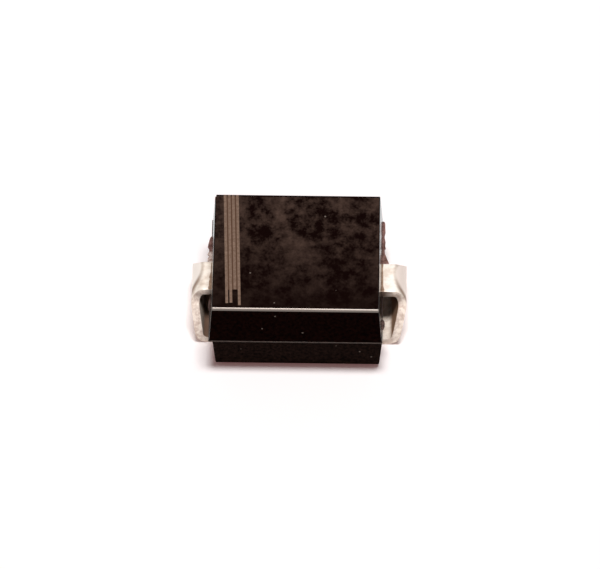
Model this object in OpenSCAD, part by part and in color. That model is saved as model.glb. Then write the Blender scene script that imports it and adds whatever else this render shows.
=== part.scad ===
// Surface-mount transient voltage suppressor diode in a moulded package with two C-bend leads.
// Millimetres. X runs along the part from the cathode (-X) to the anode (+X), and +Z is up.
// The origin lies on the board, midway between the outer faces of the two leads.

/* [Moulded body] */
// Length of the body at its parting line
body_l = 4.32; // [4.06:0.01:4.57]
// Width of the body at its parting line
body_w = 3.82; // [3.30:0.01:3.94]
// Height of the upper half, from the parting line to the top face
upper_h = 1.22; // [1.05:0.01:1.40]
// Height of the lower half, from the underside to the parting line
lower_h = 1.02; // [0.90:0.01:1.20]
// Gap between the board and the underside
standoff = 0.10; // [0.05:0.01:0.20]
// Draft of the upper half's sides, in degrees
upper_draft = 4.6; // [2:0.1:8]
// Draft of the lower half's sides, in degrees
lower_draft = 3.8; // [2:0.1:8]
// How far the upper half stands over the lower half at the parting line, if the two are in line
mould_step = 0.05; // [0.01:0.01:0.06]
// How far the lower half was moulded off the middle of the upper half, towards the anode
mould_offset = 0.045; // [0:0.005:0.06]
// How far the upper half was moulded off the middle of the leads, towards the cathode
mould_shift = 0.065; // [0:0.005:0.10]
// Radius of the top face's edges at the front and the rear
edge_r = 0.09; // [0.03:0.01:0.15]
// Radius of the top face's edges at the ends
end_edge_r = 0.025; // [0.015:0.005:0.10]

/* [Leads] */
// How far each lead reaches past the end of a body moulded midway
lead_reach = 0.525; // [0.45:0.005:0.62]
// Thickness of the lead strip
lead_t = 0.20; // [0.15:0.01:0.28]
// Width of the leg and the foot
lead_w = 2.17; // [1.96:0.01:2.21]
// Width of the neck where the lead leaves the body
neck_w = 0.87; // [0.70:0.01:1.30]
// Height below the middle of the neck over which the leg widens
flare_h = 0.84; // [0.70:0.01:0.95]
// Outer radius of the bend from the neck to the leg
upper_bend_r = 0.34; // [0.30:0.01:0.38]
// Outer radius of the bend from the leg to the foot
lower_bend_r = 0.34; // [0.30:0.01:0.38]
// Lean of the cathode's leg towards the body, in degrees
cathode_lean = 9; // [0:0.5:15]
// Lean of the anode's leg towards the body, in degrees
anode_lean = 13.5; // [0:0.5:15]
// Length of the foot, from the lead's outer face to its cut end
foot_l = 1.12; // [0.90:0.01:1.52]
// Room around each foot in its recess under the body
foot_clearance = 0.04; // [0.02:0.01:0.08]

/* [Inside] */
// Side of the square silicon chip
chip_side = 1.60; // [1.20:0.05:1.90]
// Thickness of the silicon chip
chip_t = 0.28; // [0.20:0.01:0.36]
// Thickness of each solder layer
solder_t = 0.04; // [0.03:0.01:0.08]
// How far the solder stays back from the chip's edge
solder_inset = 0.10; // [0.05:0.01:0.20]
// Width of the paddle at the inner end of each lead
paddle_w = 1.90; // [1.70:0.05:2.40]
// How far each paddle runs past the chip
paddle_lap = 0.10; // [0.05:0.01:0.20]
// How far the neck runs into the body before its shoulder
neck_embed = 0.35; // [0.25:0.01:0.45]
// Length of the flat shoulder that anchors the lead
shoulder_l = 0.12; // [0.08:0.01:0.20]
// Length of the slope from the shoulder to the paddle
joggle_l = 0.30; // [0.20:0.01:0.40]

/* [Cathode band] */
// Distance from the end of the top face to the middle of the first line, midway along it
band_inset = 0.31; // [0.20:0.01:0.60]
// Turn of the lines against the body's end, in degrees
band_skew = 2.2; // [0:0.1:3]
// Distance between the middles of neighbouring lines
band_pitch = 0.103; // [0.09:0.001:0.15]
// Width of a line
band_line_w = 0.068; // [0.04:0.001:0.08]
// Depth of a line
band_depth = 0.02; // [0.01:0.005:0.04]
// Distance from the front edge of the top face to the end of each line
band_stops = [0.20, 0.21, 0.62, 0.13]; // [0.05:0.01:1.50]

/* [Moulding marks] */
// Thickness of the resin flash left beside the leads
flash_t = 0.06; // [0.03:0.01:0.10]
// Length along X of the break in the top face's rear corner at the cathode end
break_x = 0.07; // [0.03:0.01:0.15]
// Length along Y of that break
break_y = 0.20; // [0.05:0.01:0.30]
// Depth of that break
break_z = 0.14; // [0.05:0.01:0.30]

/* [Hidden] */
$fn = 64;

parting_z = standoff + lower_h;
body_top = parting_z + upper_h;
span = body_l + 2 * lead_reach;
foot_end = span / 2 - foot_l;

// The chip lies level with the middle of the lead strip, between the two paddles
stack_z = parting_z + lead_t / 2;
paddle_offset = chip_t / 2 + solder_t + lead_t / 2;
neck_end = body_l / 2 - neck_embed;
paddle_end = chip_side / 2 + paddle_lap;

// Half sizes of the top face before its edges are rounded
top_half_l = body_l / 2 - upper_h * tan(upper_draft);
top_half_w = body_w / 2 - upper_h * tan(upper_draft);

// Steps that draw each side of the flare
flare_steps = 12;
// How deep the flash is rooted in the body
flash_root = 0.05;
// Outlines of the flash: share of the way from the neck to the body's corner, then reach
cathode_rear_flash = [
    [0.05, 0.020], [0.10, 0.085], [0.15, 0.080], [0.19, 0.042], [0.23, 0.088], [0.26, 0.080], [0.29, 0.050],
    [0.35, 0.055], [0.39, 0.088], [0.45, 0.078], [0.53, 0.055], [0.58, 0.040], [0.62, 0.000]
];
cathode_front_flash = [[0.13, 0.000], [0.18, 0.025], [0.26, 0.035], [0.33, 0.020], [0.37, 0.000]];
anode_rear_flash = [
    [0.00, 0.165], [0.07, 0.145], [0.11, 0.133], [0.15, 0.108], [0.20, 0.087], [0.24, 0.070], [0.28, 0.044],
    [0.37, 0.031], [0.41, 0.058], [0.45, 0.044], [0.54, 0.053], [0.62, 0.030], [0.67, 0.028], [0.75, 0.050],
    [0.84, 0.043], [0.93, 0.041], [0.98, 0.015]
];
anode_front_flash = [
    [0.51, 0.000], [0.55, 0.040], [0.59, 0.055], [0.65, 0.050], [0.70, 0.030], [0.73, 0.000]
];

// Points of the right half of an outline, followed by their mirror images
function both_sides(points) =
    concat(points, [for (i = [len(points) - 1 : -1 : 0]) [-points[i][0], points[i][1]]]);

// S-shaped rise from 0 to 1
function ease(t) = t * t * (3 - 2 * t);

// Stands a drawing of X and Z up as a plate, thick along Y and centred
module along_y(thickness) {
    rotate([90, 0, 0]) linear_extrude(height = thickness, center = true) children();
}

// Stands a drawing of Y and Z up as a bar, long along X and centred
module along_x(length) {
    rotate([90, 0, 90]) linear_extrude(height = length, center = true) children();
}

// Outline of the body seen from one side: the drafted lower half, offset sideways, and the drafted upper
// half, with the top edges rounded
module drafted_profile(size, offset, round_r) {
    half = size / 2;
    lower_half = half - mould_step;
    top_half = half - upper_h * tan(upper_draft);
    tangent = round_r * tan((90 - upper_draft) / 2);
    translate([offset, 0]) polygon(both_sides([
        [lower_half - lower_h * tan(lower_draft), standoff],
        [lower_half, parting_z],
        [lower_half / 2, parting_z + upper_h / 2]
    ]));
    polygon(both_sides([
        [half, parting_z],
        [top_half + tangent * sin(upper_draft), body_top - tangent * cos(upper_draft)],
        [top_half - tangent, body_top]
    ]));
    for (side = [-1, 1])
        translate([side * (top_half - tangent), body_top - round_r]) circle(round_r);
}

// The block that the two mould halves give
module drafted_block() {
    intersection() {
        along_y(body_w) drafted_profile(body_l, mould_offset, end_edge_r);
        along_x(body_l + 2 * mould_offset) drafted_profile(body_w, 0, edge_r);
    }
}

// A fin of resin on the parting line, between the neck and one corner of the body
module flash(outline) {
    neck_y = neck_w / 2;
    stretch = (body_w - neck_w) / 2;
    root_x = body_l / 2 - flash_root;
    first = outline[0];
    last = outline[len(outline) - 1];
    translate([0, 0, parting_z]) linear_extrude(height = flash_t) polygon(concat(
        [[root_x, neck_y + first[0] * stretch]],
        [for (point = outline) [body_l / 2 + point[1], neck_y + point[0] * stretch]],
        [[root_x, neck_y + last[0] * stretch]]
    ));
}

module all_flash() {
    flash(anode_rear_flash);
    mirror([0, 1, 0]) flash(anode_front_flash);
    mirror([1, 0, 0]) flash(cathode_rear_flash);
    mirror([1, 0, 0]) mirror([0, 1, 0]) flash(cathode_front_flash);
}

// Lines cut in the top face over the cathode, from the rear edge towards the front
module band_lines() {
    translate([band_inset - top_half_l, 0, body_top - band_depth]) rotate([0, 0, band_skew])
        for (i = [0 : len(band_stops) - 1])
            translate([i * band_pitch - band_line_w / 2, band_stops[i] - top_half_w, 0])
                cube([band_line_w, body_w, upper_h]);
}

// The break in the rear corner of the top face, at the cathode end
module corner_break() {
    translate([-top_half_l, top_half_w, body_top - break_z])
        linear_extrude(height = upper_h)
            polygon([
                [0, -break_y], [break_x, 0], [break_x, break_y], [-break_x, break_y], [-break_x, -break_y]
            ]);
}

// The recess in the underside that takes one foot
module foot_recess() {
    start = foot_end - foot_clearance;
    width = lead_w + 2 * foot_clearance;
    translate([start, -width / 2, 0]) cube([span / 2 - start, width, lead_t + foot_clearance]);
}

// Side view of the hook that neck, leg and foot make, filled in, with its outside moved in by inset
// and its open side moved out by slack
module filled_hook(lean, inset, slack) {
    upper = [span / 2 - upper_bend_r, parting_z + lead_t - upper_bend_r];
    outward = [cos(lean), -sin(lean)];
    down = [-sin(lean), -cos(lean)];
    leg_start = upper + upper_bend_r * outward;
    leg_l = (leg_start[1] - lower_bend_r * (1 - sin(lean))) / cos(lean);
    lower = leg_start + leg_l * down - lower_bend_r * outward;
    upper_r = upper_bend_r - inset;
    lower_r = lower_bend_r - inset;
    neck_x = neck_end - shoulder_l - slack;
    foot_x = foot_end - slack;
    middle = (upper[1] + lower[1]) / 2;
    translate(upper) circle(upper_r);
    translate(lower) circle(lower_r);
    polygon([
        [neck_x, upper[1] + upper_r], [upper[0], upper[1] + upper_r], upper + upper_r * outward,
        lower + lower_r * outward, [lower[0], lower[1] - lower_r], [foot_x, lower[1] - lower_r],
        [foot_x, middle], [neck_x, middle]
    ]);
}

// Side view of the strip outside the chip: neck, upper bend, leg, lower bend and foot
module outer_strip_profile(lean) {
    difference() {
        filled_hook(lean, 0, 0);
        filled_hook(lean, lead_t, lead_t);
    }
}

// End view of the strip: a narrow neck that widens to the leg and the foot
module flare_outline() {
    widening = (lead_w - neck_w) / 2;
    polygon(both_sides(concat(
        [[neck_w / 2, body_top]],
        [for (i = [0 : flare_steps])
            [neck_w / 2 + widening * ease(i / flare_steps), stack_z - flare_h * i / flare_steps]],
        [[lead_w / 2, -lead_t]]
    )));
}

// One lead, at +X: its paddle lies above the neck for side = 1 and below it for side = -1
module lead(side, lean) {
    shift = side * paddle_offset;
    slope_top = neck_end - shoulder_l;
    slope_end = slope_top - joggle_l;
    under = [
        [neck_end, parting_z], [slope_top, parting_z],
        [slope_end, parting_z + shift], [-paddle_end, parting_z + shift]
    ];
    intersection() {
        along_y(lead_w) outer_strip_profile(lean);
        along_x(2 * span) flare_outline();
    }
    along_y(paddle_w)
        polygon(concat(under, [for (i = [len(under) - 1 : -1 : 0]) under[i] + [0, lead_t]]));
}

// A square layer of the stack between the paddles
module layer(side, bottom, thickness) {
    translate([-side / 2, -side / 2, bottom]) cube([side, side, thickness]);
}

module cathode_lead() {
    color("#cfc6bf") mirror([1, 0, 0]) lead(-1, cathode_lean);
}

module anode_lead() {
    color("#cfc6bf") lead(1, anode_lean);
}

module silicon_chip() {
    color("#5d6069") layer(chip_side, stack_z - chip_t / 2, chip_t);
}

module cathode_solder() {
    color("#9c9c9e") layer(chip_side - 2 * solder_inset, stack_z - chip_t / 2 - solder_t, solder_t);
}

module anode_solder() {
    color("#9c9c9e") layer(chip_side - 2 * solder_inset, stack_z + chip_t / 2, solder_t);
}

// Black resin moulded around the chip, the solder and the inner ends of the leads
module moulded_body() {
    color("#211b18") difference() {
        translate([-mould_shift, 0, 0]) difference() {
            union() {
                drafted_block();
                all_flash();
            }
            band_lines();
            corner_break();
        }
        foot_recess();
        mirror([1, 0, 0]) foot_recess();
        cathode_lead();
        anode_lead();
        silicon_chip();
        cathode_solder();
        anode_solder();
    }
}

moulded_body();
cathode_lead();
anode_lead();
silicon_chip();
cathode_solder();
anode_solder();
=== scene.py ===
"""Looks of a surface-mount transient voltage suppressor diode: a moulded body with two C-bend leads.

Sizes are in millimetres, in the part's own frame: X runs from the cathode to the anode, +Z is up and
the origin lies on the board. Meshes are shaped in millimetres and scaled to metres when finished.
"""
import logging
import math
from dataclasses import dataclass
from enum import Enum
from typing import Sequence

import bmesh
import bpy
from mathutils import Matrix, Vector, noise


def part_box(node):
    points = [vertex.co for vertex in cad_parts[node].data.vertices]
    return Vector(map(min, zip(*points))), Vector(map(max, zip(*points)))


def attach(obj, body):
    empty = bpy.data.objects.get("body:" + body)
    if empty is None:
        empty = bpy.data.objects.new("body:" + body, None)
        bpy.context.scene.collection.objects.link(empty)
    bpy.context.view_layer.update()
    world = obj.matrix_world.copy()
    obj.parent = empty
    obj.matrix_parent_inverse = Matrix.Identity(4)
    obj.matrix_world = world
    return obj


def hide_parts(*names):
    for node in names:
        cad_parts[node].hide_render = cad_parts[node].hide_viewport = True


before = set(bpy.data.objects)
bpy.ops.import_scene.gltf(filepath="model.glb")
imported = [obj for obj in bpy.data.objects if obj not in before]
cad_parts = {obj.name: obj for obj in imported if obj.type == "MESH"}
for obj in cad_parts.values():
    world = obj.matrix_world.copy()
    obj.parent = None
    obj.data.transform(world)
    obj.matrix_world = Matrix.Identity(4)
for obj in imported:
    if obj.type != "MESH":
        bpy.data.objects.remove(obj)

log = logging.getLogger("diode")

MM = 0.001
BODY = "root"
# Edges that turn by more than this stay crisp
CRISP = math.radians(38)
# Lean of the cathode's and the anode's leg, in degrees
LEG_LEAN = (9.0, 13.5)
# Shares of a normal along an axis from which on a face counts as square to it, or as one side of a strip
SQUARE = 0.999
SIDEWAYS = 0.9
# Places closer than this are the same
TOUCH = 1e-4
# Sockets of a Mix node that are for colours, whose names it gives more than once
MIX_UNDER = 6
MIX_OVER = 7
MIX_RESULT = 2

Point = tuple[float, float]


class End(Enum):
    """The two ends of the part, by the side of X on which each lies."""

    CATHODE = -1
    ANODE = 1


class Resin(Enum):
    """Surfaces of the moulded resin, by their material slot."""

    SIDE = 0
    LOWER = 1
    END = 2
    TOP = 3
    EDGE = 4
    BEAD = 5
    LASERED = 6
    BROKEN = 7


class Flash(Enum):
    """Flash and films of resin, by their material slot."""

    FIN = 0
    FILM = 1
    SKIN = 2
    RIDGE = 3


class Strip(Enum):
    """Surfaces of a lead, by their material slot."""

    PLATED = 0
    SHEARED = 1
    INNER = 2


def linear(hex_colour: str) -> tuple[float, float, float, float]:
    """Turn an sRGB colour into the linear colour that a shader takes.

    Args:
        hex_colour: colour such as "#a0b0c0".

    Returns:
        Linear red, green, blue and an alpha of 1.
    """
    channels = [int(hex_colour[i:i + 2], 16) / 255 for i in (1, 3, 5)]
    curve = [c / 12.92 if c <= 0.04045 else ((c + 0.055) / 1.055) ** 2.4 for c in channels]
    return (curve[0], curve[1], curve[2], 1.0)


def ease(t: float) -> float:
    """Rise from 0 to 1 along an S-shaped curve.

    Args:
        t: how far along the rise, which starts at 0 and ends at 1.

    Returns:
        The height there.
    """
    t = min(max(t, 0.0), 1.0)
    return t * t * (3 - 2 * t)


def box_mm(node: str) -> tuple[Vector, Vector]:
    """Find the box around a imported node.

    Args:
        node: name of the node.

    Returns:
        Its lowest and highest corner, in millimetres.
    """
    low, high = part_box(node)
    return low / MM, high / MM


def feed(tree: bpy.types.NodeTree, node: bpy.types.Node, inputs: dict[str | int, object]) -> None:
    """Give the sockets of a shader node their values and links.

    Args:
        tree: the node's tree.
        node: the node.
        inputs: value or linked output for each named or numbered socket.
    """
    for socket, value in inputs.items():
        if isinstance(value, bpy.types.NodeSocket):
            tree.links.new(value, node.inputs[socket])
        else:
            node.inputs[socket].default_value = value


def add_node(
    tree: bpy.types.NodeTree, kind: str, inputs: dict[str | int, object] | None = None, **settings: object
) -> bpy.types.Node:
    """Add a shader node with its settings, values and links.

    Args:
        tree: node tree that gets the node.
        kind: Blender's name for the node's class, without the ShaderNode that it starts with.
        inputs: value or linked output for each named or numbered socket.
        settings: properties of the node.

    Returns:
        The new node.
    """
    node = tree.nodes.new(f"ShaderNode{kind}")
    for name, value in settings.items():
        setattr(node, name, value)
    feed(tree, node, inputs or {})
    return node


def paint(
    tree: bpy.types.NodeTree, ground: str, layers: Sequence[tuple[bpy.types.NodeSocket, str]]
) -> bpy.types.NodeSocket:
    """Lay colours over one another.

    Args:
        tree: the material's node tree.
        ground: sRGB colour of the lowest layer.
        layers: share and sRGB colour of each layer over it, from the lowest up.

    Returns:
        The mixed colour.
    """
    colour = linear(ground)
    for share, over in layers:
        mix = add_node(
            tree, "Mix", {"Factor": share, MIX_UNDER: colour, MIX_OVER: linear(over)}, data_type="RGBA"
        )
        colour = mix.outputs[MIX_RESULT]
    return colour


def grain_normal(
    tree: bpy.types.NodeTree, place: bpy.types.NodeSocket, size_mm: float, detail: float, height_mm: float
) -> bpy.types.NodeSocket:
    """Raise a fine grain on a surface.

    Args:
        tree: the material's node tree.
        place: Object coordinates in millimetres.
        size_mm: size of the grain.
        detail: number of finer layers in it.
        height_mm: how far it stands out.

    Returns:
        The normal of the grainy surface.
    """
    grain = add_node(tree, "TexNoise", {"Vector": place, "Scale": 1 / size_mm, "Detail": detail})
    bump = add_node(tree, "Bump", {"Height": grain.outputs["Fac"], "Distance": height_mm * MM})
    return bump.outputs[0]


def new_material(
    name: str,
) -> tuple[bpy.types.Material, bpy.types.NodeTree, bpy.types.Node, bpy.types.NodeSocket]:
    """Start a material with one Principled shader.

    Args:
        name: what the real material is called.

    Returns:
        The material, its node tree, its shader node and the Object coordinates in millimetres.
    """
    material = bpy.data.materials.new(name)
    material.use_nodes = True
    tree = material.node_tree
    metres = add_node(tree, "TexCoord").outputs["Object"]
    place = add_node(tree, "VectorMath", {0: metres, "Scale": 1 / MM}, operation="SCALE")
    return material, tree, tree.nodes["Principled BSDF"], place.outputs[0]


def to_object(name: str, bm: bmesh.types.BMesh) -> bpy.types.Object:
    """Turn a mesh into an object of the scene.

    Args:
        name: name of the object and of its mesh.
        bm: the mesh, which is freed.

    Returns:
        The object.
    """
    mesh = bpy.data.meshes.new(name)
    bm.to_mesh(mesh)
    bm.free()
    thing = bpy.data.objects.new(name, mesh)
    bpy.context.scene.collection.objects.link(thing)
    return thing


def settle(
    name: str, bm: bmesh.types.BMesh, materials: Sequence[bpy.types.Material]
) -> bpy.types.Object:
    """Turn a mesh in millimetres into a finished piece in metres that rides on the part.

    Args:
        name: name of the piece.
        bm: its mesh, which is freed.
        materials: its materials, in the order of its slots.

    Returns:
        The piece.
    """
    for face in bm.faces:
        face.smooth = True
    for edge in bm.edges:
        edge.smooth = edge.is_manifold and edge.calc_face_angle(0.0) < CRISP
    bmesh.ops.scale(bm, vec=(MM, MM, MM), verts=bm.verts)
    piece = to_object(name, bm)
    for material in materials:
        piece.data.materials.append(material)
    normals = piece.modifiers.new("Even shading", "WEIGHTED_NORMAL")
    normals.keep_sharp = True
    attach(piece, BODY)
    return piece


def cut_away(bm: bmesh.types.BMesh, cutter: bmesh.types.BMesh, slots: int) -> bmesh.types.BMesh:
    """Cut one closed mesh out of another, keeping the slot numbers of both.

    Args:
        bm: mesh to cut, which is freed.
        cutter: mesh to take away, which is freed.
        slots: how many material slots the two use.

    Returns:
        The mesh that is left.
    """
    blank = bpy.data.materials.new("blank")
    made = [to_object("cutting", source) for source in (bm, cutter)]
    for thing in made:
        for _ in range(slots):
            thing.data.materials.append(blank)
    work, tool = made
    cut = work.modifiers.new("Cut", "BOOLEAN")
    cut.operation = "DIFFERENCE"
    cut.solver = "EXACT"
    cut.object = tool
    left = bmesh.new()
    left.from_object(work, bpy.context.evaluated_depsgraph_get())
    for thing in made:
        mesh = thing.data
        bpy.data.objects.remove(thing)
        bpy.data.meshes.remove(mesh)
    bpy.data.materials.remove(blank)
    return left


def add_block(
    bm: bmesh.types.BMesh, low: Sequence[float], high: Sequence[float]
) -> list[bmesh.types.BMVert]:
    """Add a plain block between two corners.

    Args:
        bm: mesh that gets the block.
        low: its lowest corner.
        high: its highest corner.

    Returns:
        Its vertices.
    """
    low, high = Vector(low), Vector(high)
    place = Matrix.Translation((low + high) / 2) @ Matrix.Diagonal((*(high - low), 1.0))
    return bmesh.ops.create_cube(bm, size=1.0, matrix=place)["verts"]


@dataclass(frozen=True)
class Scorch:
    """The burnt strip of skin between the laser's lines, which run along Y."""

    # Middle of the strip along X, where it crosses Y = 0, and its turn in degrees
    middle: float
    turn: float
    width: float
    # Where the strip ends towards the front
    front: float
    colour: str = "#5d4538"

    def share(self, tree: bpy.types.NodeTree, place: bpy.types.NodeSocket) -> bpy.types.NodeSocket:
        """Tell the strip from the rest of the face.

        Args:
            tree: the material's node tree.
            place: Object coordinates in millimetres.

        Returns:
            1 on the strip and 0 elsewhere.
        """
        turned = add_node(
            tree, "Mapping",
            {"Vector": place, "Location": (self.middle, 0, 0),
             "Rotation": (0, 0, math.radians(self.turn))},
            vector_type="TEXTURE",
        )
        axes = add_node(tree, "SeparateXYZ", {0: turned.outputs[0]})
        across = add_node(
            tree, "Math", {0: axes.outputs[0], 1: 0.0, 2: self.width / 2}, operation="COMPARE"
        )
        along = add_node(tree, "Math", {0: axes.outputs[1], 1: self.front}, operation="GREATER_THAN")
        both = add_node(tree, "Math", {0: across.outputs[0], 1: along.outputs[0]}, operation="MULTIPLY")
        return both.outputs[0]


@dataclass(frozen=True)
class ResinFinish:
    """Glass-filled epoxy moulding compound: near-black brown, cloudy where the mould was matt."""

    name: str
    dark: str
    light: str
    # Values of the cloud pattern at which the resin is dark and light
    cloud_from: float
    cloud_to: float
    patch_mm: float
    specular: float
    roughness: float
    # Height of the fine grain that the filler leaves in the skin
    grain_height_mm: float
    # Share of the cells of the speck pattern that hold a grain of filler with a painted glint
    painted_glint_share: float = 0.0
    # Painted reflection: places along Y between which the clouds come up, lighter towards the rear, and
    # what is left of them before the first
    painted_reflection_span: Point | None = None
    painted_reflection_low: float = 0.15
    # Number of finer layers in the cloud pattern and how strong each is against the one before
    cloud_detail: float = 5.0
    cloud_roughness: float = 0.62
    # Which of its random forms the cloud pattern takes
    cloud_seed: float = 0.0
    ior: float = 1.5
    # Colour of what it mirrors face on
    tint: str = "#ffffff"
    grain_mm: float = 0.045
    grain_detail: float = 3.0
    glint_spacing_mm: float = 0.30
    glint_r_mm: float = 0.024
    painted_glint_colour: str = "#6f635b"

    def material(self, scorch: Scorch | None = None) -> bpy.types.Material:
        """Build the node material.

        Args:
            scorch: strip of the surface that the laser burnt, if there is one.

        Returns:
            The finished material.
        """
        material, tree, shader, place = new_material(self.name)
        layers = [(self._clouds(tree, place), self.light)]
        # Painted glints on sparse grains of filler
        if self.painted_glint_share:
            layers.append((self._painted_glints(tree, place), self.painted_glint_colour))
        if scorch:
            layers.append((scorch.share(tree, place), scorch.colour))
        feed(tree, shader, {
            "Base Color": paint(tree, self.dark, layers),
            "Normal": grain_normal(tree, place, self.grain_mm, self.grain_detail, self.grain_height_mm),
            "IOR": self.ior,
            "Specular IOR Level": self.specular,
            "Specular Tint": linear(self.tint),
            "Roughness": self.roughness,
        })
        return material

    def _clouds(self, tree: bpy.types.NodeTree, place: bpy.types.NodeSocket) -> bpy.types.NodeSocket:
        """Draw the clouds that filler makes in the skin, with their painted reflection towards the rear.

        Args:
            tree: the material's node tree.
            place: Object coordinates in millimetres.

        Returns:
            0 where the resin is dark and 1 where it is light.
        """
        cloud = add_node(
            tree, "TexNoise",
            {"Vector": place, "W": self.cloud_seed, "Scale": 1 / self.patch_mm,
             "Detail": self.cloud_detail, "Roughness": self.cloud_roughness},
            noise_dimensions="4D",
        )
        share = add_node(
            tree, "MapRange",
            {"Value": cloud.outputs["Fac"], "From Min": self.cloud_from, "From Max": self.cloud_to},
        )
        # Painted reflection: the clouds are lighter towards the rear and fade towards the front
        if self.painted_reflection_span:
            start, end = self.painted_reflection_span
            axes = add_node(tree, "SeparateXYZ", {0: place})
            clear = add_node(
                tree, "MapRange",
                {"Value": axes.outputs[1], "From Min": start, "From Max": end, "To Min": self.painted_reflection_low},
            )
            share = add_node(
                tree, "Math", {0: share.outputs[0], 1: clear.outputs[0]}, operation="MULTIPLY"
            )
        return share.outputs[0]

    def _painted_glints(self, tree: bpy.types.NodeTree, place: bpy.types.NodeSocket) -> bpy.types.NodeSocket:
        """Draw sparse grains of filler, each with a painted glint.

        Args:
            tree: the material's node tree.
            place: Object coordinates in millimetres.

        Returns:
            1 on a grain and 0 elsewhere.
        """
        cells = add_node(tree, "TexVoronoi", {"Vector": place, "Scale": 1 / self.glint_spacing_mm})
        near = add_node(
            tree, "Math",
            {0: cells.outputs["Distance"], 1: self.glint_r_mm / self.glint_spacing_mm},
            operation="LESS_THAN",
        )
        draw = add_node(tree, "SeparateColor", {0: cells.outputs["Color"]})
        chosen = add_node(tree, "Math", {0: draw.outputs[0], 1: self.painted_glint_share}, operation="LESS_THAN")
        both = add_node(tree, "Math", {0: near.outputs[0], 1: chosen.outputs[0]}, operation="MULTIPLY")
        return both.outputs[0]


@dataclass(frozen=True)
class TinFinish:
    """Matt tin on copper strip: pale and mottled, with a painted reflection line and a painted reflection
    tone across each bend.
    """

    name: str
    # Painted reflection line across the bend, at |x| = line_x + line_curve * (y - line_y) ** 2
    line_x: float
    line_y: float
    line_curve: float = 0.70
    # Half width of the painted line where it is thinnest, and its growth with (y - line_y) ** 2
    line_w: float = 0.070
    line_spread: float = 0.20
    # Share of the painted line's colour where it is thinnest, and value of (y - line_y) ** 2 where it is
    # full
    line_faint: float = 0.35
    line_full: float = 0.22
    # Heights between which the line comes up, on the bend
    line_heights: Point = (0.70, 0.90)
    # How far past the line the painted reflection tone is full
    reflection_blend_w: float = 0.06

    dull_colour: str = "#d8c8ba"
    bright_colour: str = "#f4ebe2"
    painted_reflection_colour: str = "#e4d5cc"
    painted_line_colour: str = "#937b6b"
    mottle_mm: float = 0.20
    mottle_detail: float = 4.0
    # Values of the mottle at which the tin is dull and bright
    mottle_range: Point = (0.36, 0.60)
    grain_mm: float = 0.040
    grain_detail: float = 2.0
    grain_height_mm: float = 0.0020
    roughness_low: float = 0.37
    roughness_high: float = 0.52
    # Values of the mottle at which the tin is roughest and smoothest
    roughness_range: Point = (0.3, 0.7)
    # Matt plating scatters part of the light like a pale paint
    metallic: float = 0.75

    def material(self) -> bpy.types.Material:
        """Build the node material.

        Returns:
            The finished material.
        """
        material, tree, shader, place = new_material(self.name)
        mottle = add_node(
            tree, "TexNoise",
            {"Vector": place, "Scale": 1 / self.mottle_mm, "Detail": self.mottle_detail},
        )
        dull, bright = self.mottle_range
        flat = add_node(
            tree, "MapRange", {"Value": mottle.outputs["Fac"], "From Min": dull, "From Max": bright}
        )
        # Painted reflection across the bend: a darker line, and a changed tone past it
        reflected_share, painted_line = self._painted_reflection(tree, place)
        layers = (
            (flat.outputs[0], self.bright_colour),
            (reflected_share, self.painted_reflection_colour),
            (painted_line, self.painted_line_colour),
        )
        roughest, smoothest = self.roughness_range
        roughness = add_node(
            tree, "MapRange",
            {"Value": mottle.outputs["Fac"], "From Min": roughest, "From Max": smoothest,
             "To Min": self.roughness_high, "To Max": self.roughness_low},
        )
        feed(tree, shader, {
            "Base Color": paint(tree, self.dull_colour, layers),
            "Normal": grain_normal(tree, place, self.grain_mm, self.grain_detail, self.grain_height_mm),
            "Roughness": roughness.outputs[0],
            "Metallic": self.metallic,
        })
        return material

    def _painted_reflection(
        self, tree: bpy.types.NodeTree, place: bpy.types.NodeSocket
    ) -> tuple[bpy.types.NodeSocket, bpy.types.NodeSocket]:
        """Paint the reflection line and the reflection tone across the bend.

        Args:
            tree: the material's node tree.
            place: Object coordinates in millimetres.

        Returns:
            The share of painted reflection tone, and the share of the painted reflection line.
        """
        axes = add_node(tree, "SeparateXYZ", {0: place})
        across = add_node(tree, "Math", {0: axes.outputs[1], 1: self.line_y}, operation="SUBTRACT")
        square = add_node(
            tree, "Math", {0: across.outputs[0], 1: across.outputs[0]}, operation="MULTIPLY"
        ).outputs[0]
        line = add_node(
            tree, "Math", {0: square, 1: self.line_curve, 2: self.line_x}, operation="MULTIPLY_ADD"
        )
        reach = add_node(tree, "Math", {0: axes.outputs[0]}, operation="ABSOLUTE")
        past = add_node(tree, "Math", {0: reach.outputs[0], 1: line.outputs[0]}, operation="SUBTRACT")
        reflected_share = add_node(
            tree, "MapRange", {"Value": past.outputs[0], "From Min": 0.0, "From Max": self.reflection_blend_w}
        )
        off_line = add_node(tree, "Math", {0: past.outputs[0]}, operation="ABSOLUTE")
        half_width = add_node(
            tree, "Math", {0: square, 1: self.line_spread, 2: self.line_w}, operation="MULTIPLY_ADD"
        )
        on_line = add_node(
            tree, "MapRange",
            {"Value": off_line.outputs[0], "From Min": 0.0, "From Max": half_width.outputs[0],
             "To Min": 1.0, "To Max": 0.0},
            interpolation_type="SMOOTHSTEP",
        )
        depth = add_node(
            tree, "MapRange",
            {"Value": square, "From Min": 0.0, "From Max": self.line_full, "To Min": self.line_faint},
        )
        high = add_node(
            tree, "MapRange",
            {"Value": axes.outputs[2], "From Min": self.line_heights[0], "From Max": self.line_heights[1]},
        )
        drawn = add_node(tree, "Math", {0: on_line.outputs[0], 1: depth.outputs[0]}, operation="MULTIPLY")
        painted_line = add_node(tree, "Math", {0: drawn.outputs[0], 1: high.outputs[0]}, operation="MULTIPLY")
        return reflected_share.outputs[0], painted_line.outputs[0]


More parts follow.
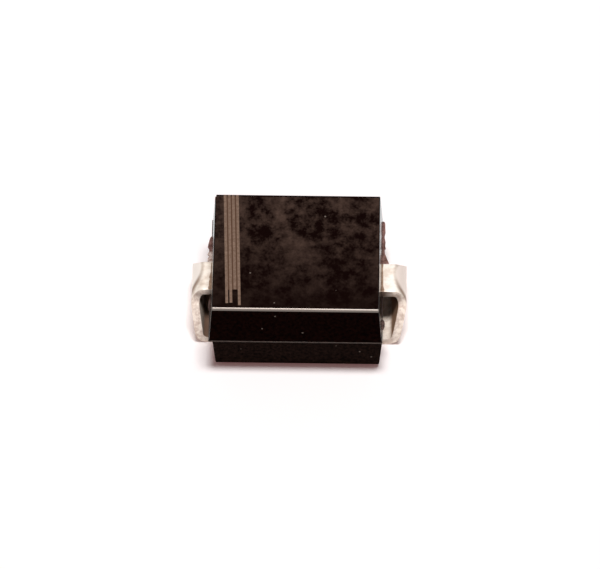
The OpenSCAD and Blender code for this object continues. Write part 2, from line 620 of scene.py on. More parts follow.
@dataclass(frozen=True)
class PaintedShade:
    """Painted shade on part of a lead, darker where shade falls."""

    colour: str
    # Heights at which it starts and is full
    heights: Point
    # Distances from the middle of the part along X between which it fades out
    reach: Point

    def share(self, tree: bpy.types.NodeTree, place: bpy.types.NodeSocket) -> bpy.types.NodeSocket:
        """Tell how much painted shade lies on each place.

        Args:
            tree: the material's node tree.
            place: Object coordinates in millimetres.

        Returns:
            1 where the painted shade is full and 0 where there is none.
        """
        axes = add_node(tree, "SeparateXYZ", {0: place})
        out = add_node(tree, "Math", {0: axes.outputs[0]}, operation="ABSOLUTE")
        near = add_node(
            tree, "MapRange",
            {"Value": out.outputs[0], "From Min": self.reach[0], "From Max": self.reach[1],
             "To Min": 1.0, "To Max": 0.0},
        )
        high = add_node(
            tree, "MapRange",
            {"Value": axes.outputs[2], "From Min": self.heights[0], "From Max": self.heights[1]},
        )
        both = add_node(tree, "Math", {0: near.outputs[0], 1: high.outputs[0]}, operation="MULTIPLY")
        return both.outputs[0]


@dataclass(frozen=True)
class GrainyMetal:
    """A speckled surface, such as a sheared edge, tin under flux, solder or sawn silicon."""

    name: str
    dark: str
    light: str
    grain_mm: float
    grain_height_mm: float
    roughness: float
    metallic: float = 1.0
    # Painted shade over part of the surface, if there is any
    painted_shade: PaintedShade | None = None
    grain_detail: float = 3.0
    # How strong each finer layer of the grain is against the one before
    grain_blend: float = 0.65
    # Values of the grain at which the metal is dark and light
    grain_range: Point = (0.36, 0.60)

    def material(self) -> bpy.types.Material:
        """Build the node material.

        Returns:
            The finished material.
        """
        material, tree, shader, place = new_material(self.name)
        grain = add_node(
            tree, "TexNoise",
            {"Vector": place, "Scale": 1 / self.grain_mm, "Detail": self.grain_detail,
             "Roughness": self.grain_blend},
        )
        dark, light = self.grain_range
        share = add_node(
            tree, "MapRange", {"Value": grain.outputs["Fac"], "From Min": dark, "From Max": light}
        )
        layers = [(share.outputs[0], self.light)]
        # Painted shade where shade falls
        if self.painted_shade:
            layers.append((self.painted_shade.share(tree, place), self.painted_shade.colour))
        bump = add_node(
            tree, "Bump",
            {"Height": grain.outputs["Fac"], "Distance": self.grain_height_mm * MM},
        )
        feed(tree, shader, {
            "Base Color": paint(tree, self.dark, layers),
            "Normal": bump.outputs[0],
            "Metallic": self.metallic,
            "Roughness": self.roughness,
        })
        return material


RESIN = {
    # Upper front and rear sides: the polished mould leaves them smooth and almost black
    Resin.SIDE: ResinFinish(
        name="epoxy resin, smooth side", dark="#030000", light="#1e0b07", cloud_from=0.36, cloud_to=0.70,
        patch_mm=0.08, specular=0.002, roughness=0.20, grain_height_mm=0.0003, painted_glint_share=0.40,
    ),
    # Lower half: the same resin with a faint grain; its greyer colour is painted reflection of the white
    # table that it faces
    Resin.LOWER: ResinFinish(
        name="epoxy resin, lower half", dark="#070201", light="#2a1a15", cloud_from=0.36, cloud_to=0.68,
        patch_mm=0.08, specular=0.003, roughness=0.30, grain_height_mm=0.0006, painted_glint_share=0.40,
    ),
    # Upper ends: smooth enough to mirror the white room at a slant
    Resin.END: ResinFinish(
        name="epoxy resin, smooth end", dark="#0a0302", light="#140806", cloud_from=0.35, cloud_to=0.70,
        patch_mm=0.30, specular=0.09, roughness=0.13, grain_height_mm=0.0001, tint="#ffc9b4",
    ),
    # Top face: the mould was matt, so filler shows as grey clouds; that they grow towards the rear is
    # painted reflection
    Resin.TOP: ResinFinish(
        name="epoxy resin, matt top", dark="#0e0302", light="#5a463d", cloud_from=0.43, cloud_to=0.73,
        patch_mm=0.52, specular=0.01, roughness=0.50, grain_height_mm=0.0020, painted_glint_share=0.12,
        painted_reflection_span=(-1.6, 0.9), painted_reflection_low=0.20, cloud_detail=7.0, cloud_roughness=0.75, cloud_seed=11.0,
    ),
    # Front edge: rubbed smooth, so it catches the light
    Resin.EDGE: ResinFinish(
        name="epoxy resin, polished edge", dark="#0e0504", light="#1a0f0c", cloud_from=0.35, cloud_to=0.70,
        patch_mm=0.20, specular=0.95, roughness=0.43, grain_height_mm=0.0008, ior=1.85, tint="#ffeee2",
    ),
    # Line between the mould halves: a torn film of resin, with a real sheen and painted glints here and
    # there
    Resin.BEAD: ResinFinish(
        name="epoxy resin, mould line", dark="#120706", light="#41302a", cloud_from=0.38, cloud_to=0.66,
        patch_mm=0.16, specular=0.25, roughness=0.38, grain_height_mm=0.0015, painted_glint_share=0.40,
        tint="#ffeee2",
    ),
    # Laser-marked lines: the skin is burnt off and the filler under it is pale brown and dull
    Resin.LASERED: ResinFinish(
        name="epoxy resin, laser marked", dark="#725b4d", light="#8c7363", cloud_from=0.36, cloud_to=0.64,
        patch_mm=0.07, specular=0.08, roughness=0.70, grain_height_mm=0.0040,
    ),
    # Thin flash and broken corners: light passes into the resin, so its brown shows
    Resin.BROKEN: ResinFinish(
        name="epoxy resin, broken and thin", dark="#5a3932", light="#9a726a", cloud_from=0.38,
        cloud_to=0.66, patch_mm=0.10, specular=0.20, roughness=0.50, grain_height_mm=0.0050,
    ),
}
FLASH = {
    Flash.FIN: RESIN[Resin.BROKEN],
    # Films on the necks: so thin that the tin under them lightens the brown
    Flash.FILM: ResinFinish(
        name="epoxy resin, thin film", dark="#8d6d58", light="#c2a28a", cloud_from=0.38, cloud_to=0.66,
        patch_mm=0.10, specular=0.20, roughness=0.50, grain_height_mm=0.0030,
    ),
    # Torn flash next to the cathode's neck: a skin that lets most of the light through
    Flash.SKIN: ResinFinish(
        name="epoxy resin, torn skin", dark="#9a7568", light="#ecd9d0", cloud_from=0.36, cloud_to=0.60,
        patch_mm=0.08, specular=0.20, roughness=0.50, grain_height_mm=0.0030,
    ),
    # Stubs of flash at the front of the two ends: thick and worn
    Flash.RIDGE: ResinFinish(
        name="epoxy resin, worn stub", dark="#2f1d18", light="#654c44", cloud_from=0.38, cloud_to=0.62,
        patch_mm=0.08, specular=0.20, roughness=0.50, grain_height_mm=0.0030,
    ),
}
TIN = {
    End.CATHODE: TinFinish(
        name="tin-plated copper, cathode", line_x=2.42, line_y=0.30, dull_colour="#d0beae",
        bright_colour="#ede1d5", painted_reflection_colour="#f0e5dc",
    ),
    End.ANODE: TinFinish(name="tin-plated copper, anode", line_x=2.39, line_y=0.15),
}
# Inner side of the strip: dull tin with a bloom of flux, which scatters light like pale paint. Brown
# painted shade darkens the anode's leg and the cathode's foot inside the hook
INNER = {
    End.CATHODE: GrainyMetal(
        name="tin-plated copper, shade_painted inner side", dark="#d8c2b0", light="#f2dfcf", grain_mm=0.12,
        grain_height_mm=0.002, roughness=0.8, metallic=0.0,
        painted_shade=PaintedShade(colour="#8a6b58", heights=(0.42, 0.26), reach=(3.0, 3.1)),
    ),
    End.ANODE: GrainyMetal(
        name="tin-plated copper, dull inner side", dark="#e6d4c4", light="#fceee0", grain_mm=0.12,
        grain_height_mm=0.002, roughness=0.8, metallic=0.0,
        painted_shade=PaintedShade(colour="#b58a6c", heights=(0.22, 0.34), reach=(3.0, 3.1)),
    ),
}
# Sheared after plating: torn copper smeared with tin, so it is speckled pink and grey, with painted
# shade next to the body
SHEARED = GrainyMetal(
    name="sheared copper strip", dark="#d0bcb0", light="#f0e4da", grain_mm=0.15, grain_height_mm=0.0015,
    roughness=0.75, painted_shade=PaintedShade(colour="#7a6558", heights=(0.89, 0.91), reach=(2.12, 2.36)),
)
# Sawn wafer: grey, with a fine grain
SILICON = GrainyMetal(
    name="sawn silicon", dark="#4b4e57", light="#70747e", grain_mm=0.03, grain_height_mm=0.001,
    roughness=0.30,
)
# Solder as it froze: a paler grey with a coarser grain
SOLDER = GrainyMetal(
    name="lead-free solder", dark="#8d8d8f", light="#b5b5b6", grain_mm=0.06, grain_height_mm=0.003,
    roughness=0.42,
)


@dataclass(frozen=True)
class Section:
    """One level outline of the resin block."""

    # How far it stands inside the parting line's outline at the ends, and at the front and rear
    end_inside: float
    side_inside: float
    height: float
    # Its shift along X
    shift: float


@dataclass
class MouldedBody:
    """The resin block: two drafted halves, a rounded top, the cathode band and the foot recesses."""

    width: float
    bottom: float
    top: float
    length: float = 4.32
    # Middle of the block along X: it was moulded a little off the middle of the leads
    middle: float = -0.065
    parting: float = 1.12
    upper_draft: float = 4.6
    lower_draft: float = 3.8
    # How far the lower half stands inside the upper one, and its shift along X against it
    step: float = 0.05
    lower_shift: float = 0.045
    corner_r: float = 0.030
    # Radius of the top face's edges at the front and rear, and at the ends
    edge_r: float = 0.090
    end_edge_r: float = 0.025
    foot_edge_r: float = 0.025
    round_steps: int = 8
    # Forward and upward shares of the normal from which on the front edge is rubbed smooth
    front_from: float = 0.1
    polished_from: float = 0.45
    # Bead that the gap between the mould halves leaves
    bead_r: float = 0.016
    bead_steps: int = 6

    # Distance to the middle of the first line of the band, midway along it, and the turn of the lines
    band_inset: float = 0.31
    band_skew: float = 2.2
    band_pitch: float = 0.103
    band_line_w: float = 0.068
    band_depth: float = 0.02
    band_stops: Sequence[float] = (0.20, 0.21, 0.62, 0.13)

    # Broken rear corner: its size, and the height, grain and random form of its rough faces
    break_size: Sequence[float] = (0.07, 0.20, 0.14)
    break_roughness: float = 0.012
    break_grain: float = 0.06
    break_seed: int = 3
    break_cuts: int = 7

    recess_start: float = 1.525
    recess_width: float = 2.25
    recess_height: float = 0.24

    def top_half(self, size: float) -> float:
        """Give half of a side of the top face, before its edges are rounded.

        Args:
            size: the same side at the parting line.

        Returns:
            Half the side.
        """
        return size / 2 - (self.top - self.parting) * math.tan(math.radians(self.upper_draft))

    def build(self) -> bpy.types.Object:
        """Model the block and dress it.

        Returns:
            The piece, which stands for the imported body.
        """
        bm = self._block()
        self._sort_faces(bm)
        bm = cut_away(bm, self._cutters(), len(Resin))
        bmesh.ops.translate(bm, vec=(self.middle, 0, 0), verts=bm.verts)
        bm = cut_away(bm, self._recesses(), len(Resin))
        finishes = [RESIN[kind].material(self._scorch() if kind is Resin.TOP else None) for kind in Resin]
        piece = settle("moulded_body_shell", bm, finishes)
        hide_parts("moulded_body")
        return piece

    def _scorch(self) -> Scorch:
        """Place the burnt strip between the first and the last line of the band.

        Returns:
            The strip, as far as the line that stops first.
        """
        width = (len(self.band_stops) - 1) * self.band_pitch
        turn = math.radians(self.band_skew)
        first = self.middle + self.band_inset - self.top_half(self.length)
        return Scorch(
            middle=first + width / 2 / math.cos(turn), turn=self.band_skew, width=width,
            front=max(self.band_stops) - self.top_half(self.width),
        )

    def _round(self, draw: float, level: float, radius: float, draft: float) -> list[Point]:
        """Round the edge between a drafted side and the flat face that ends it.

        Args:
            draw: how far the sharp edge stands inside the parting line's outline.
            level: height of the flat face.
            radius: radius of the edge.
            draft: draft of the side, in degrees.

        Returns:
            How far each point stands inside the parting line's outline, with its height, from the side on.
        """
        way = 1 if level > self.parting else -1
        setback = radius * math.tan(math.radians(90 - draft) / 2)
        points = []
        for i in range(self.round_steps + 1):
            turn = math.radians(draft + (90 - draft) * i / self.round_steps)
            inside = draw + setback - radius * math.cos(turn)
            points.append((inside, level + way * radius * (math.sin(turn) - 1)))
        return points

    def _end_inside(self, height: float) -> float:
        """Give how far an end of the upper half stands inside the parting line's outline.

        Args:
            height: height on the end.

        Returns:
            The distance there, on the drafted end or on the small round that ends it.
        """
        draft = math.radians(self.upper_draft)
        rise = math.tan(draft)
        radius = self.end_edge_r
        middle = (self.top - self.parting) * rise + radius * math.tan((math.pi / 2 - draft) / 2)
        above = height - (self.top - radius)
        if above < radius * math.sin(draft):
            return (height - self.parting) * rise
        return middle - math.sqrt(max(radius ** 2 - above ** 2, 0.0))

    def _sections(self) -> list[Section]:
        """List the outlines through which the block is raised, from the bottom up.

        Returns:
            The outlines.
        """
        lower_draw = self.step + (self.parting - self.bottom) * math.tan(math.radians(self.lower_draft))
        upper_draw = (self.top - self.parting) * math.tan(math.radians(self.upper_draft))
        foot = self._round(lower_draw, self.bottom, self.foot_edge_r, self.lower_draft)
        lower = [*reversed(foot), (self.step, self.parting)]
        upper = []
        for i in range(self.bead_steps + 1):
            turn = math.pi * (i / self.bead_steps - 0.5)
            inside = self.bead_r * (1 - math.cos(turn))
            upper.append((inside, self.parting + self.bead_r * (1 + math.sin(turn))))
        sections = [Section(inside, inside, height, self.lower_shift) for inside, height in lower]
        sections += [Section(inside, inside, height, 0.0) for inside, height in upper]
        for inside, height in self._round(upper_draw, self.top, self.edge_r, self.upper_draft):
            sections.append(Section(self._end_inside(height), inside, height, 0.0))
        return sections

    def _block(self) -> bmesh.types.BMesh:
        """Raise the block from an outline with rounded corners.

        Returns:
            The closed block, with its upper half centred on X = 0.
        """
        bm = bmesh.new()
        half = Vector((self.length / 2, self.width / 2))
        outline = bmesh.ops.create_grid(bm, x_segments=1, y_segments=1, size=1.0)["verts"]
        bmesh.ops.scale(bm, vec=(half.x, half.y, 1), verts=outline)
        bmesh.ops.bevel(
            bm, geom=bm.verts[:], offset=self.corner_r, offset_type="OFFSET", segments=self.round_steps,
            profile=0.5, affect="VERTICES", material=-1,
        )
        ring = bm.verts[:]
        face = bm.faces[:][0]
        before = Section(0.0, 0.0, 0.0, 0.0)
        for i, section in enumerate(self._sections()):
            if i:
                # With its edges given too, the old face goes, so that none is left inside
                grown = bmesh.ops.extrude_face_region(bm, geom=[face, *face.edges])["geom"]
                face = next(item for item in grown if isinstance(item, bmesh.types.BMFace))
                ring = face.verts[:]
            grow_x = (half.x - section.end_inside) / (half.x - before.end_inside)
            grow_y = (half.y - section.side_inside) / (half.y - before.side_inside)
            bmesh.ops.translate(bm, vec=(-before.shift, 0, section.height - before.height), verts=ring)
            bmesh.ops.scale(bm, vec=(grow_x, grow_y, 1), verts=ring)
            bmesh.ops.translate(bm, vec=(section.shift, 0, 0), verts=ring)
            before = section
        bmesh.ops.recalc_face_normals(bm, faces=bm.faces)
        bm.normal_update()
        return bm

    def _sort_faces(self, bm: bmesh.types.BMesh) -> None:
        """Give each face of the block the slot of its surface.

        Args:
            bm: mesh of the block.
        """
        bead_top = self.parting + 2 * self.bead_r
        for face in bm.faces:
            height = face.calc_center_median().z
            frontward = -face.normal.y > self.front_from and face.normal.z > self.polished_from
            if face.normal.z > SQUARE:
                kind = Resin.TOP
            elif frontward and height > self.top - self.edge_r:
                kind = Resin.EDGE
            elif self.parting < height < bead_top:
                kind = Resin.BEAD
            elif height <= self.parting:
                kind = Resin.LOWER
            elif abs(face.normal.x) > abs(face.normal.y):
                kind = Resin.END
            else:
                kind = Resin.SIDE
            face.material_index = kind.value

    def _cutters(self) -> bmesh.types.BMesh:
        """Model what is taken out of the top: the lines of the band and the broken rear corner.

        Returns:
            The closed cutters, about X = 0.
        """
        bm = bmesh.new()
        half_l, half_w = self.top_half(self.length), self.top_half(self.width)
        above = self.top + 2 * self.edge_r
        for i, stop in enumerate(self.band_stops):
            middle = i * self.band_pitch
            low = (middle - self.band_line_w / 2, stop - half_w, self.top - self.band_depth)
            add_block(bm, low, (middle + self.band_line_w / 2, self.width, above))
        turn = Matrix.Rotation(math.radians(self.band_skew), 3, "Z")
        bmesh.ops.rotate(bm, cent=(0, 0, 0), matrix=turn, verts=bm.verts)
        bmesh.ops.translate(bm, vec=(self.band_inset - half_l, 0, 0), verts=bm.verts)
        for face in bm.faces:
            face.material_index = Resin.LASERED.value
        lines = set(bm.faces)
        dx, dy, dz = self.break_size
        chip = add_block(bm, (-dx, -dy, -dz), (dx, dy, dz))
        # Keys of a dictionary keep their order, so the mesh comes out the same in each run
        edges = list(dict.fromkeys(edge for vert in chip for edge in vert.link_edges))
        bmesh.ops.subdivide_edges(bm, edges=edges, cuts=self.break_cuts, use_grid_fill=True)
        rough = list(dict.fromkeys(vert for face in bm.faces if face not in lines for vert in face.verts))
        noise.seed_set(self.break_seed)
        for vert in rough:
            # The block is sheared so that its inner side runs across the corner
            vert.co.x += dx * (vert.co.y / dy - 1) / 2
            vert.co += self.break_roughness * noise.noise_vector(vert.co / self.break_grain)
        bmesh.ops.translate(bm, vec=(-half_l, half_w, self.top), verts=rough)
        torn = [face for face in bm.faces if face not in lines]
        for face in torn:
            face.material_index = Resin.BROKEN.value
        # Bent squares are cut by their shape, so the boolean meets the same triangles in each run
        bmesh.ops.triangulate(bm, faces=torn, quad_method="SHORT_EDGE")
        bmesh.ops.recalc_face_normals(bm, faces=bm.faces)
        return bm

    def _recesses(self) -> bmesh.types.BMesh:
        """Model what is taken out of the underside for the two feet.

        Returns:
            The closed cutters.
        """
        bm = bmesh.new()
        far = self.length
        half = self.recess_width / 2
        for low_x, high_x in ((self.recess_start, far), (-far, -self.recess_start)):
            add_block(bm, (low_x, -half, -self.bottom), (high_x, half, self.recess_height))
        return bm


@dataclass
class MouldFlash:
    """Fins of resin that squeezed out along the parting line, and films of it on the necks."""

    body: MouldedBody
    neck_w: float = 0.87
    # Top of the fins, which lie on the parting line, and of the necks, which the films lie on
    level: float = 1.18
    neck_level: float = 1.32
    thickness: float = 0.06
    # How much of the thickness is left at the torn edge
    torn_share: float = 0.55
    root: float = 0.05
    film_t: float = 0.012
    # Outlines: share of the way from the neck to the body's corner, then reach past the body's end
    cathode_skin: Sequence[Point] = (
        (0.05, 0.020), (0.10, 0.085), (0.15, 0.080), (0.19, 0.042), (0.23, 0.088), (0.26, 0.080),
        (0.29, 0.050),
    )
    cathode_rear: Sequence[Point] = (
        (0.29, 0.050), (0.35, 0.055), (0.39, 0.088), (0.45, 0.078), (0.53, 0.055), (0.58, 0.040),
        (0.62, 0.000),
    )
    cathode_front: Sequence[Point] = (
        (0.13, 0.000), (0.18, 0.025), (0.26, 0.035), (0.33, 0.020), (0.37, 0.000),
    )
    anode_rear: Sequence[Point] = (
        (0.00, 0.165), (0.07, 0.145), (0.11, 0.133), (0.15, 0.108), (0.20, 0.087), (0.24, 0.070),
        (0.28, 0.044), (0.37, 0.031), (0.41, 0.058), (0.45, 0.044), (0.54, 0.053), (0.62, 0.030),
        (0.67, 0.028), (0.75, 0.050), (0.84, 0.043), (0.93, 0.041), (0.98, 0.015),
    )
    anode_front: Sequence[Point] = (
        (0.51, 0.000), (0.55, 0.040), (0.59, 0.055), (0.65, 0.050), (0.70, 0.030), (0.73, 0.000),
    )
    # Films on the necks: place across the neck, then reach past the body's end
    cathode_film: Sequence[Point] = (
        (0.40, -0.012), (0.10, -0.010), (-0.04, 0.020), (-0.12, 0.010), (-0.20, 0.028), (-0.30, 0.025),
        (-0.38, 0.045), (-0.43, 0.030),
    )
    anode_film: Sequence[Point] = (
        (0.43, 0.005), (0.30, -0.004), (0.10, 0.000), (-0.10, 0.006), (-0.26, 0.004), (-0.33, 0.020),
        (-0.38, 0.035), (-0.43, 0.030),
    )

    def build(self) -> bpy.types.Object:
        """Model the fins and films and dress them.

        Returns:
            The piece.
        """
        bm = bmesh.new()
        stretch = (self.body.width - self.neck_w) / 2
        fins = (
            (End.CATHODE, 1, self.cathode_rear, Flash.FIN),
            (End.CATHODE, -1, self.cathode_front, Flash.RIDGE),
            (End.ANODE, 1, self.anode_rear, Flash.FIN),
            (End.ANODE, -1, self.anode_front, Flash.RIDGE),
            (End.CATHODE, 1, self.cathode_skin, Flash.SKIN),
        )
        for end, side, outline, kind in fins:
            points = [(side * (self.neck_w / 2 + share * stretch), reach) for share, reach in outline]
            self._fin(bm, end, points, self.level, -self.thickness, kind)
        for end, film in ((End.CATHODE, self.cathode_film), (End.ANODE, self.anode_film)):
            self._fin(bm, end, film, self.neck_level, self.film_t, Flash.FILM)
        bmesh.ops.recalc_face_normals(bm, faces=bm.faces)
        finishes = [FLASH[kind].material() for kind in Flash]
        return settle("mould_flash", bm, finishes)

    def _fin(
        self,
        bm: bmesh.types.BMesh,
        end: End,
        points: Sequence[Point],
        height: float,
        thickness: float,
        kind: Flash,
    ) -> None:
        """Add one fin.

        Args:
            bm: mesh that gets the fin.
            end: end of the body that it stands on.
            points: place along Y and reach past the body's end, along its torn edge.
            height: height of its level side.
            thickness: how far its root stands over that side, or under it if negative.
            kind: how thin the resin is.
        """
        before = set(bm.faces)
        face_x = self.body.length / 2
        rim = [(face_x - self.root, points[0][0])]
        rim += [(face_x + reach, y) for y, reach in points]
        rim += [(face_x - self.root, points[-1][0])]
        flat = [bm.verts.new((self.body.middle + end.value * x, y, height)) for x, y in rim]
        face = bm.faces.new(flat)
        raised = bmesh.ops.extrude_face_region(bm, geom=[face])["geom"]
        for vert in (item for item in raised if isinstance(item, bmesh.types.BMVert)):
            rooted = abs(vert.co.x - self.body.middle) < face_x
            vert.co.z += thickness if rooted else thickness * self.torn_share
        for added in set(bm.faces) - before:
            added.material_index = kind.value


@dataclass
class Lead:
    """One lead: a strip with its paddle in the resin, a neck, a flared leg and a foot."""

    end: End
    # Lean of the leg towards the body, in degrees
    lean: float
    span: float
    body_length: float
    parting: float = 1.12
    thickness: float = 0.20
    leg_w: float = 2.17
    neck_w: float = 0.87
    # Where the strip starts to widen, past the start of the upper bend, and over what length
    flare_start: float = 0.10
    flare_l: float = 1.22
    bend_r: float = 0.34
    foot_l: float = 1.12
    paddle_w: float = 1.90
    paddle_reach: float = 0.90
    paddle_offset: float = 0.28
    neck_embed: float = 0.35
    shoulder_l: float = 0.12
    shoulder_taper: float = 0.03
    joggle_l: float = 0.30
    edge_r: float = 0.022
    edge_steps: int = 3
    bend_steps: int = 20
    leg_steps: int = 12
    across_steps: int = 12

    def build(self) -> bpy.types.Object:
        """Model the strip and dress it.

        Returns:
            The piece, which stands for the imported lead.
        """
        bm = self._sweep()
        for face in bm.faces:
            if abs(face.normal.y) > SIDEWAYS or self._is_cap(face):
                face.material_index = Strip.SHEARED.value
            elif self._is_inner(face):
                face.material_index = Strip.INNER.value
        corners = [edge for edge in bm.edges if self._is_corner(edge)]
        for vert in bm.verts:
            vert.co.y *= self._half_width(vert.co)
        bmesh.ops.bevel(
            bm, geom=corners, offset=self.edge_r, offset_type="OFFSET", segments=self.edge_steps,
            profile=0.5, affect="EDGES", material=-1, clamp_overlap=True,
        )
        if self.end is End.CATHODE:
            bmesh.ops.scale(bm, vec=(-1, 1, 1), verts=bm.verts)
        bmesh.ops.recalc_face_normals(bm, faces=bm.faces)
        node = f"{self.end.name.lower()}_lead"
        finishes = [finish.material() for finish in (TIN[self.end], SHEARED, INNER[self.end])]
        piece = settle(f"{node}_strip", bm, finishes)
        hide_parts(node)
        return piece

    def _sweep(self) -> bmesh.types.BMesh:
        """Draw the strip along its side view at +X, with its width running from -1 to 1.

        Returns:
            The closed strip.
        """
        bm = bmesh.new()
        upright = Matrix.Rotation(math.pi / 2, 4, "Y")
        bmesh.ops.create_grid(bm, x_segments=1, y_segments=self.across_steps, size=1.0, matrix=upright)
        bmesh.ops.scale(bm, vec=(1, 1, self.thickness / 2), verts=bm.verts)
        neck_end = self.body_length / 2 - self.neck_embed
        slope_top = neck_end - self.shoulder_l
        offset = self.end.value * self.paddle_offset
        start = Vector((-self.paddle_reach, 0, self.parting + self.thickness / 2 + offset))
        bmesh.ops.translate(bm, vec=start, verts=bm.verts)
        upper, outward, down = self._leg_frame()
        lean = math.radians(self.lean)
        # Paddle, joggle, shoulder, its taper and neck
        runs = (
            (slope_top - self.joggle_l + self.paddle_reach, 0, 0),
            (self.joggle_l, 0, -offset),
            (self.shoulder_l - self.shoulder_taper, 0, 0),
            (self.shoulder_taper, 0, 0),
            (upper.x - neck_end, 0, 0),
        )
        tip = bm.faces[:]
        for run in runs:
            tip = self._step(bm, tip, run)
        tip = self._turn(bm, tip, upper, math.pi / 2 + lean)
        leg_top = upper + self.bend_r * outward
        leg_l = (leg_top.z - self.bend_r * (1 - math.sin(lean))) / math.cos(lean)
        for _ in range(self.leg_steps):
            tip = self._step(bm, tip, down * leg_l / self.leg_steps)
        lower = leg_top + leg_l * down - self.bend_r * outward
        tip = self._turn(bm, tip, lower, math.pi / 2 - lean)
        self._step(bm, tip, (self.span / 2 - self.foot_l - lower.x, 0, 0))
        bmesh.ops.recalc_face_normals(bm, faces=bm.faces)
        bm.normal_update()
        return bm

    def _leg_frame(self) -> tuple[Vector, Vector, Vector]:
        """Find how the leg stands at +X.

        Returns:
            The middle of the upper bend, the direction out of the leg and the direction down it.
        """
        upper = Vector((self.span / 2 - self.bend_r, 0, self.parting + self.thickness - self.bend_r))
        lean = math.radians(self.lean)
        outward = Vector((math.cos(lean), 0, -math.sin(lean)))
        down = Vector((-math.sin(lean), 0, -math.cos(lean)))
        return upper, outward, down

    def _step(
        self, bm: bmesh.types.BMesh, tip: list[bmesh.types.BMFace], move: Sequence[float]
    ) -> list[bmesh.types.BMFace]:
        """Run the strip on in a straight line.

        Args:
            bm: mesh of the strip.
            tip: faces at its end.
            move: how far it runs on.

        Returns:
            The faces at its new end.
        """
        # With their edges given too, the old faces go, so that none is left inside
        edges = dict.fromkeys(edge for face in tip for edge in face.edges)
        grown = bmesh.ops.extrude_face_region(bm, geom=[*tip, *edges])["geom"]
        bmesh.ops.translate(
            bm, vec=Vector(move), verts=[item for item in grown if isinstance(item, bmesh.types.BMVert)]
        )
        return [item for item in grown if isinstance(item, bmesh.types.BMFace)]

    def _turn(
        self, bm: bmesh.types.BMesh, tip: list[bmesh.types.BMFace], centre: Vector, angle: float
    ) -> list[bmesh.types.BMFace]:
        """Run the strip on round a bend.

        Args:
            bm: mesh of the strip.
            tip: faces at its end.
            centre: middle of the bend.
            angle: how far it turns, in radians.

        Returns:
            The faces at its new end.
        """
        edges = dict.fromkeys(edge for face in tip for edge in face.edges)
        verts = dict.fromkeys(vert for face in tip for vert in face.verts)
        grown = bmesh.ops.spin(
            bm, geom=[*tip, *edges, *verts], cent=centre, axis=(0, 1, 0), angle=angle,
            steps=self.bend_steps,
        )["geom_last"]
        return [item for item in grown if isinstance(item, bmesh.types.BMFace)]

    def _is_cap(self, face: bmesh.types.BMFace) -> bool:
        """Tell whether a face is a cut end of the strip: the paddle's or the foot's.

        Args:
            face: a face of the strip, at +X.

        Returns:
            Whether it is one of the two.
        """
        ends = (-self.paddle_reach, self.span / 2 - self.foot_l)
        place = face.calc_center_median().x
        return abs(face.normal.x) > SQUARE and any(abs(place - x) < TOUCH for x in ends)

    def _is_inner(self, face: bmesh.types.BMFace) -> bool:
        """Tell whether a face of the strip looks into the hook that neck, leg and foot make.

        Args:
            face: a face of the strip, at +X.

        Returns:
            Whether it faces the middle of the hook.
        """
        place = face.calc_center_median()
        middle = Vector((self.body_length / 2, 0, self.parting / 2))
        if place.x <= self.body_length / 2 - self.neck_embed:
            return False
        return face.normal.xz.dot((middle - place).xz) > 0

    def _is_corner(self, edge: bmesh.types.BMEdge) -> bool:
        """Tell whether an edge lies between a sheared side and another face of the strip.

        Args:
            edge: an edge of the strip.

        Returns:
            Whether one of its two faces is a sheared side.
        """
        sideways = {abs(face.normal.y) > SIDEWAYS for face in edge.link_faces}
        return len(sideways) == 2

    def _half_width(self, place: Vector) -> float:
        """Give half the strip's width at a place on it.

        Args:
            place: a point of the strip, at +X.

        Returns:
            The half width there.
        """
        neck_end = self.body_length / 2 - self.neck_embed
        if place.x < neck_end and place.z > self.bend_r:
            share = (neck_end - place.x) / self.shoulder_taper
            return self.neck_w / 2 + (self.paddle_w - self.neck_w) / 2 * min(share, 1.0)
        upper, _, down = self._leg_frame()
        run = self.bend_r * (math.pi / 2 + math.radians(self.lean))
        below = (place - upper).xz.dot(down.xz)
        if below <= 0:
            below = self.bend_r * max(math.atan2(place.x - upper.x, place.z - upper.z), 0.0) - run
        share = ease((run + below - self.flare_start) / self.flare_l)
        return self.neck_w / 2 + (self.leg_w - self.neck_w) / 2 * share


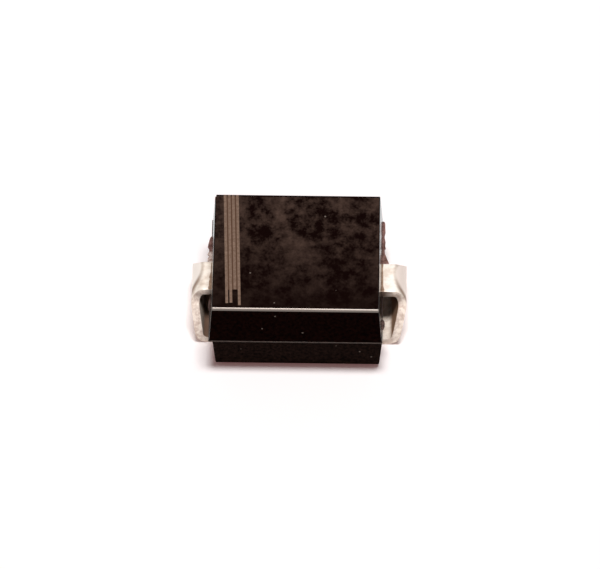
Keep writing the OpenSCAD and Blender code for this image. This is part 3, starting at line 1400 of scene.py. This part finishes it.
@dataclass
class Studio:
    """The white table, the soft light and the camera."""

    floor_size: float = 600.0
    floor_colour: str = "#ffffff"
    # What is seen of the table beyond the light that falls on it, and its colour to the camera
    floor_glow: float = 0.12
    glow_colour: str = "#ffa8a2"
    # Light from the tent against what is seen of it
    sky: float = 0.12
    sky_colour: str = "#ffffff"
    key_distance: float = 250.0
    # How far the soft box hangs to the right of the part and to its front, in degrees
    key_tilt: Point = (2.5, 0.0)
    key_size: Sequence[float] = (84.0, 50.0)
    key_power: float = 0.54

    elevation: float = 53.0
    azimuth: float = 1.20
    roll: float = -0.24
    distance: float = 138.9
    # Point that the camera faces, and how far it stands to its right and above it in its own frame
    target: Sequence[float] = (-0.05, 0.0, 1.15)
    framing: Point = (0.0685, -0.091)
    # Lens that gives the photograph's scale on a sensor 36 mm wide
    lens: float = 333.4
    sensor: float = 36.0
    near: float = 10.0
    far: float = 5000.0

    def build(self) -> None:
        """Set up the stage, the light and the camera."""
        bpy.context.scene.view_settings.view_transform = "Standard"
        self._floor()
        self._world()
        self._key()
        self._camera()

    def _floor(self) -> None:
        """Lay the table, which can be seen through from below."""
        bm = bmesh.new()
        bmesh.ops.create_grid(bm, x_segments=1, y_segments=1, size=self.floor_size / 2 * MM)
        table = to_object("table", bm)
        material, tree, shader, _ = new_material("white card")
        tree.nodes.remove(shader)
        card = add_node(tree, "BsdfDiffuse", {"Color": linear(self.floor_colour)})
        ray = add_node(tree, "LightPath")
        shown = add_node(
            tree, "Math",
            {0: ray.outputs["Is Camera Ray"], 1: ray.outputs["Is Glossy Ray"]}, operation="MAXIMUM",
        )
        strength = add_node(tree, "Math", {0: shown.outputs[0], 1: self.floor_glow}, operation="MULTIPLY")
        warm = paint(tree, self.floor_colour, [(ray.outputs["Is Camera Ray"], self.glow_colour)])
        glow = add_node(tree, "Emission", {"Color": warm, "Strength": strength.outputs[0]})
        lit = add_node(tree, "AddShader", {0: card.outputs[0], 1: glow.outputs[0]})
        clear = add_node(tree, "BsdfTransparent")
        under = add_node(tree, "NewGeometry").outputs["Backfacing"]
        both = add_node(tree, "MixShader", {0: under, 1: lit.outputs[0], 2: clear.outputs[0]})
        feed(tree, tree.nodes["Material Output"], {"Surface": both.outputs[0]})
        table.data.materials.append(material)

    def _world(self) -> None:
        """Surround the part with white, which lights it less than it shows."""
        world = bpy.data.worlds.new("white tent")
        bpy.context.scene.world = world
        world.use_nodes = True
        tree = world.node_tree
        ray = add_node(tree, "LightPath")
        seen = add_node(
            tree, "Math",
            {0: ray.outputs["Is Camera Ray"], 1: ray.outputs["Is Glossy Ray"]}, operation="MAXIMUM",
        )
        shown = add_node(
            tree, "Math", {0: seen.outputs[0], 1: ray.outputs["Is Transmission Ray"]},
            operation="MAXIMUM",
        )
        strength = add_node(tree, "MapRange", {"Value": shown.outputs[0], "To Min": self.sky})
        white = linear(self.sky_colour)
        feed(tree, tree.nodes["Background"], {"Color": white, "Strength": strength.outputs[0]})

    def _key(self) -> None:
        """Hang a soft box over the part, a little to the right."""
        lamp = bpy.data.lights.new("soft box", "AREA")
        lamp.shape = "RECTANGLE"
        lamp.size = self.key_size[0] * MM
        lamp.size_y = self.key_size[1] * MM
        lamp.energy = self.key_power
        right, front = (math.radians(tilt) for tilt in self.key_tilt)
        turn = Matrix.Rotation(right, 3, "Y") @ Matrix.Rotation(front, 3, "X")
        box = bpy.data.objects.new("soft box", lamp)
        box.location = turn.col[2] * self.key_distance * MM
        box.rotation_euler = turn.to_euler()
        bpy.context.scene.collection.objects.link(box)

    def _camera(self) -> None:
        """Stand the camera where the photograph was taken from."""
        e, a = math.radians(self.elevation), math.radians(self.azimuth)
        back = Vector((math.sin(a) * math.cos(e), -math.cos(a) * math.cos(e), math.sin(e)))
        right = Vector((math.cos(a), math.sin(a), 0))
        level = Matrix((right, back.cross(right), back)).transposed()
        axes = level @ Matrix.Rotation(math.radians(self.roll), 3, "Z")
        place = Vector(self.target) + back * self.distance
        place += axes.col[0] * self.framing[0] + axes.col[1] * self.framing[1]
        data = bpy.data.cameras.new("camera")
        data.lens = self.lens
        data.sensor_width = self.sensor
        data.clip_start = self.near * MM
        data.clip_end = self.far * MM
        camera = bpy.data.objects.new("camera", data)
        camera.matrix_world = Matrix.Translation(place * MM) @ axes.to_4x4()
        bpy.context.scene.collection.objects.link(camera)
        bpy.context.scene.camera = camera


def dress_node(node: str, finish: GrainyMetal) -> None:
    """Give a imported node, whose shape stays, its own material.

    Args:
        node: name of the node.
        finish: what it is made of.
    """
    material = finish.material()
    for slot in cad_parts[node].material_slots:
        slot.material = material
    log.info("dressed %s", node)


def main() -> None:
    """Build every piece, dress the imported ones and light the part."""
    logging.basicConfig(level=logging.INFO, format="%(message)s")
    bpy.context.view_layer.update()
    low, high = box_mm("moulded_body")
    body = MouldedBody(width=high.y - low.y, bottom=low.z, top=high.z)
    span = box_mm("anode_lead")[1].x - box_mm("cathode_lead")[0].x
    leads = [Lead(end, lean, span, body.length) for end, lean in zip(End, LEG_LEAN)]
    assemblies = [body, MouldFlash(body), *leads]
    for assembly in assemblies:
        piece = assembly.build()
        log.info("built %s", piece.name)
    dress_node("silicon_chip", SILICON)
    dress_node("cathode_solder", SOLDER)
    dress_node("anode_solder", SOLDER)
    Studio().build()


if __name__ == "__main__":
    main()
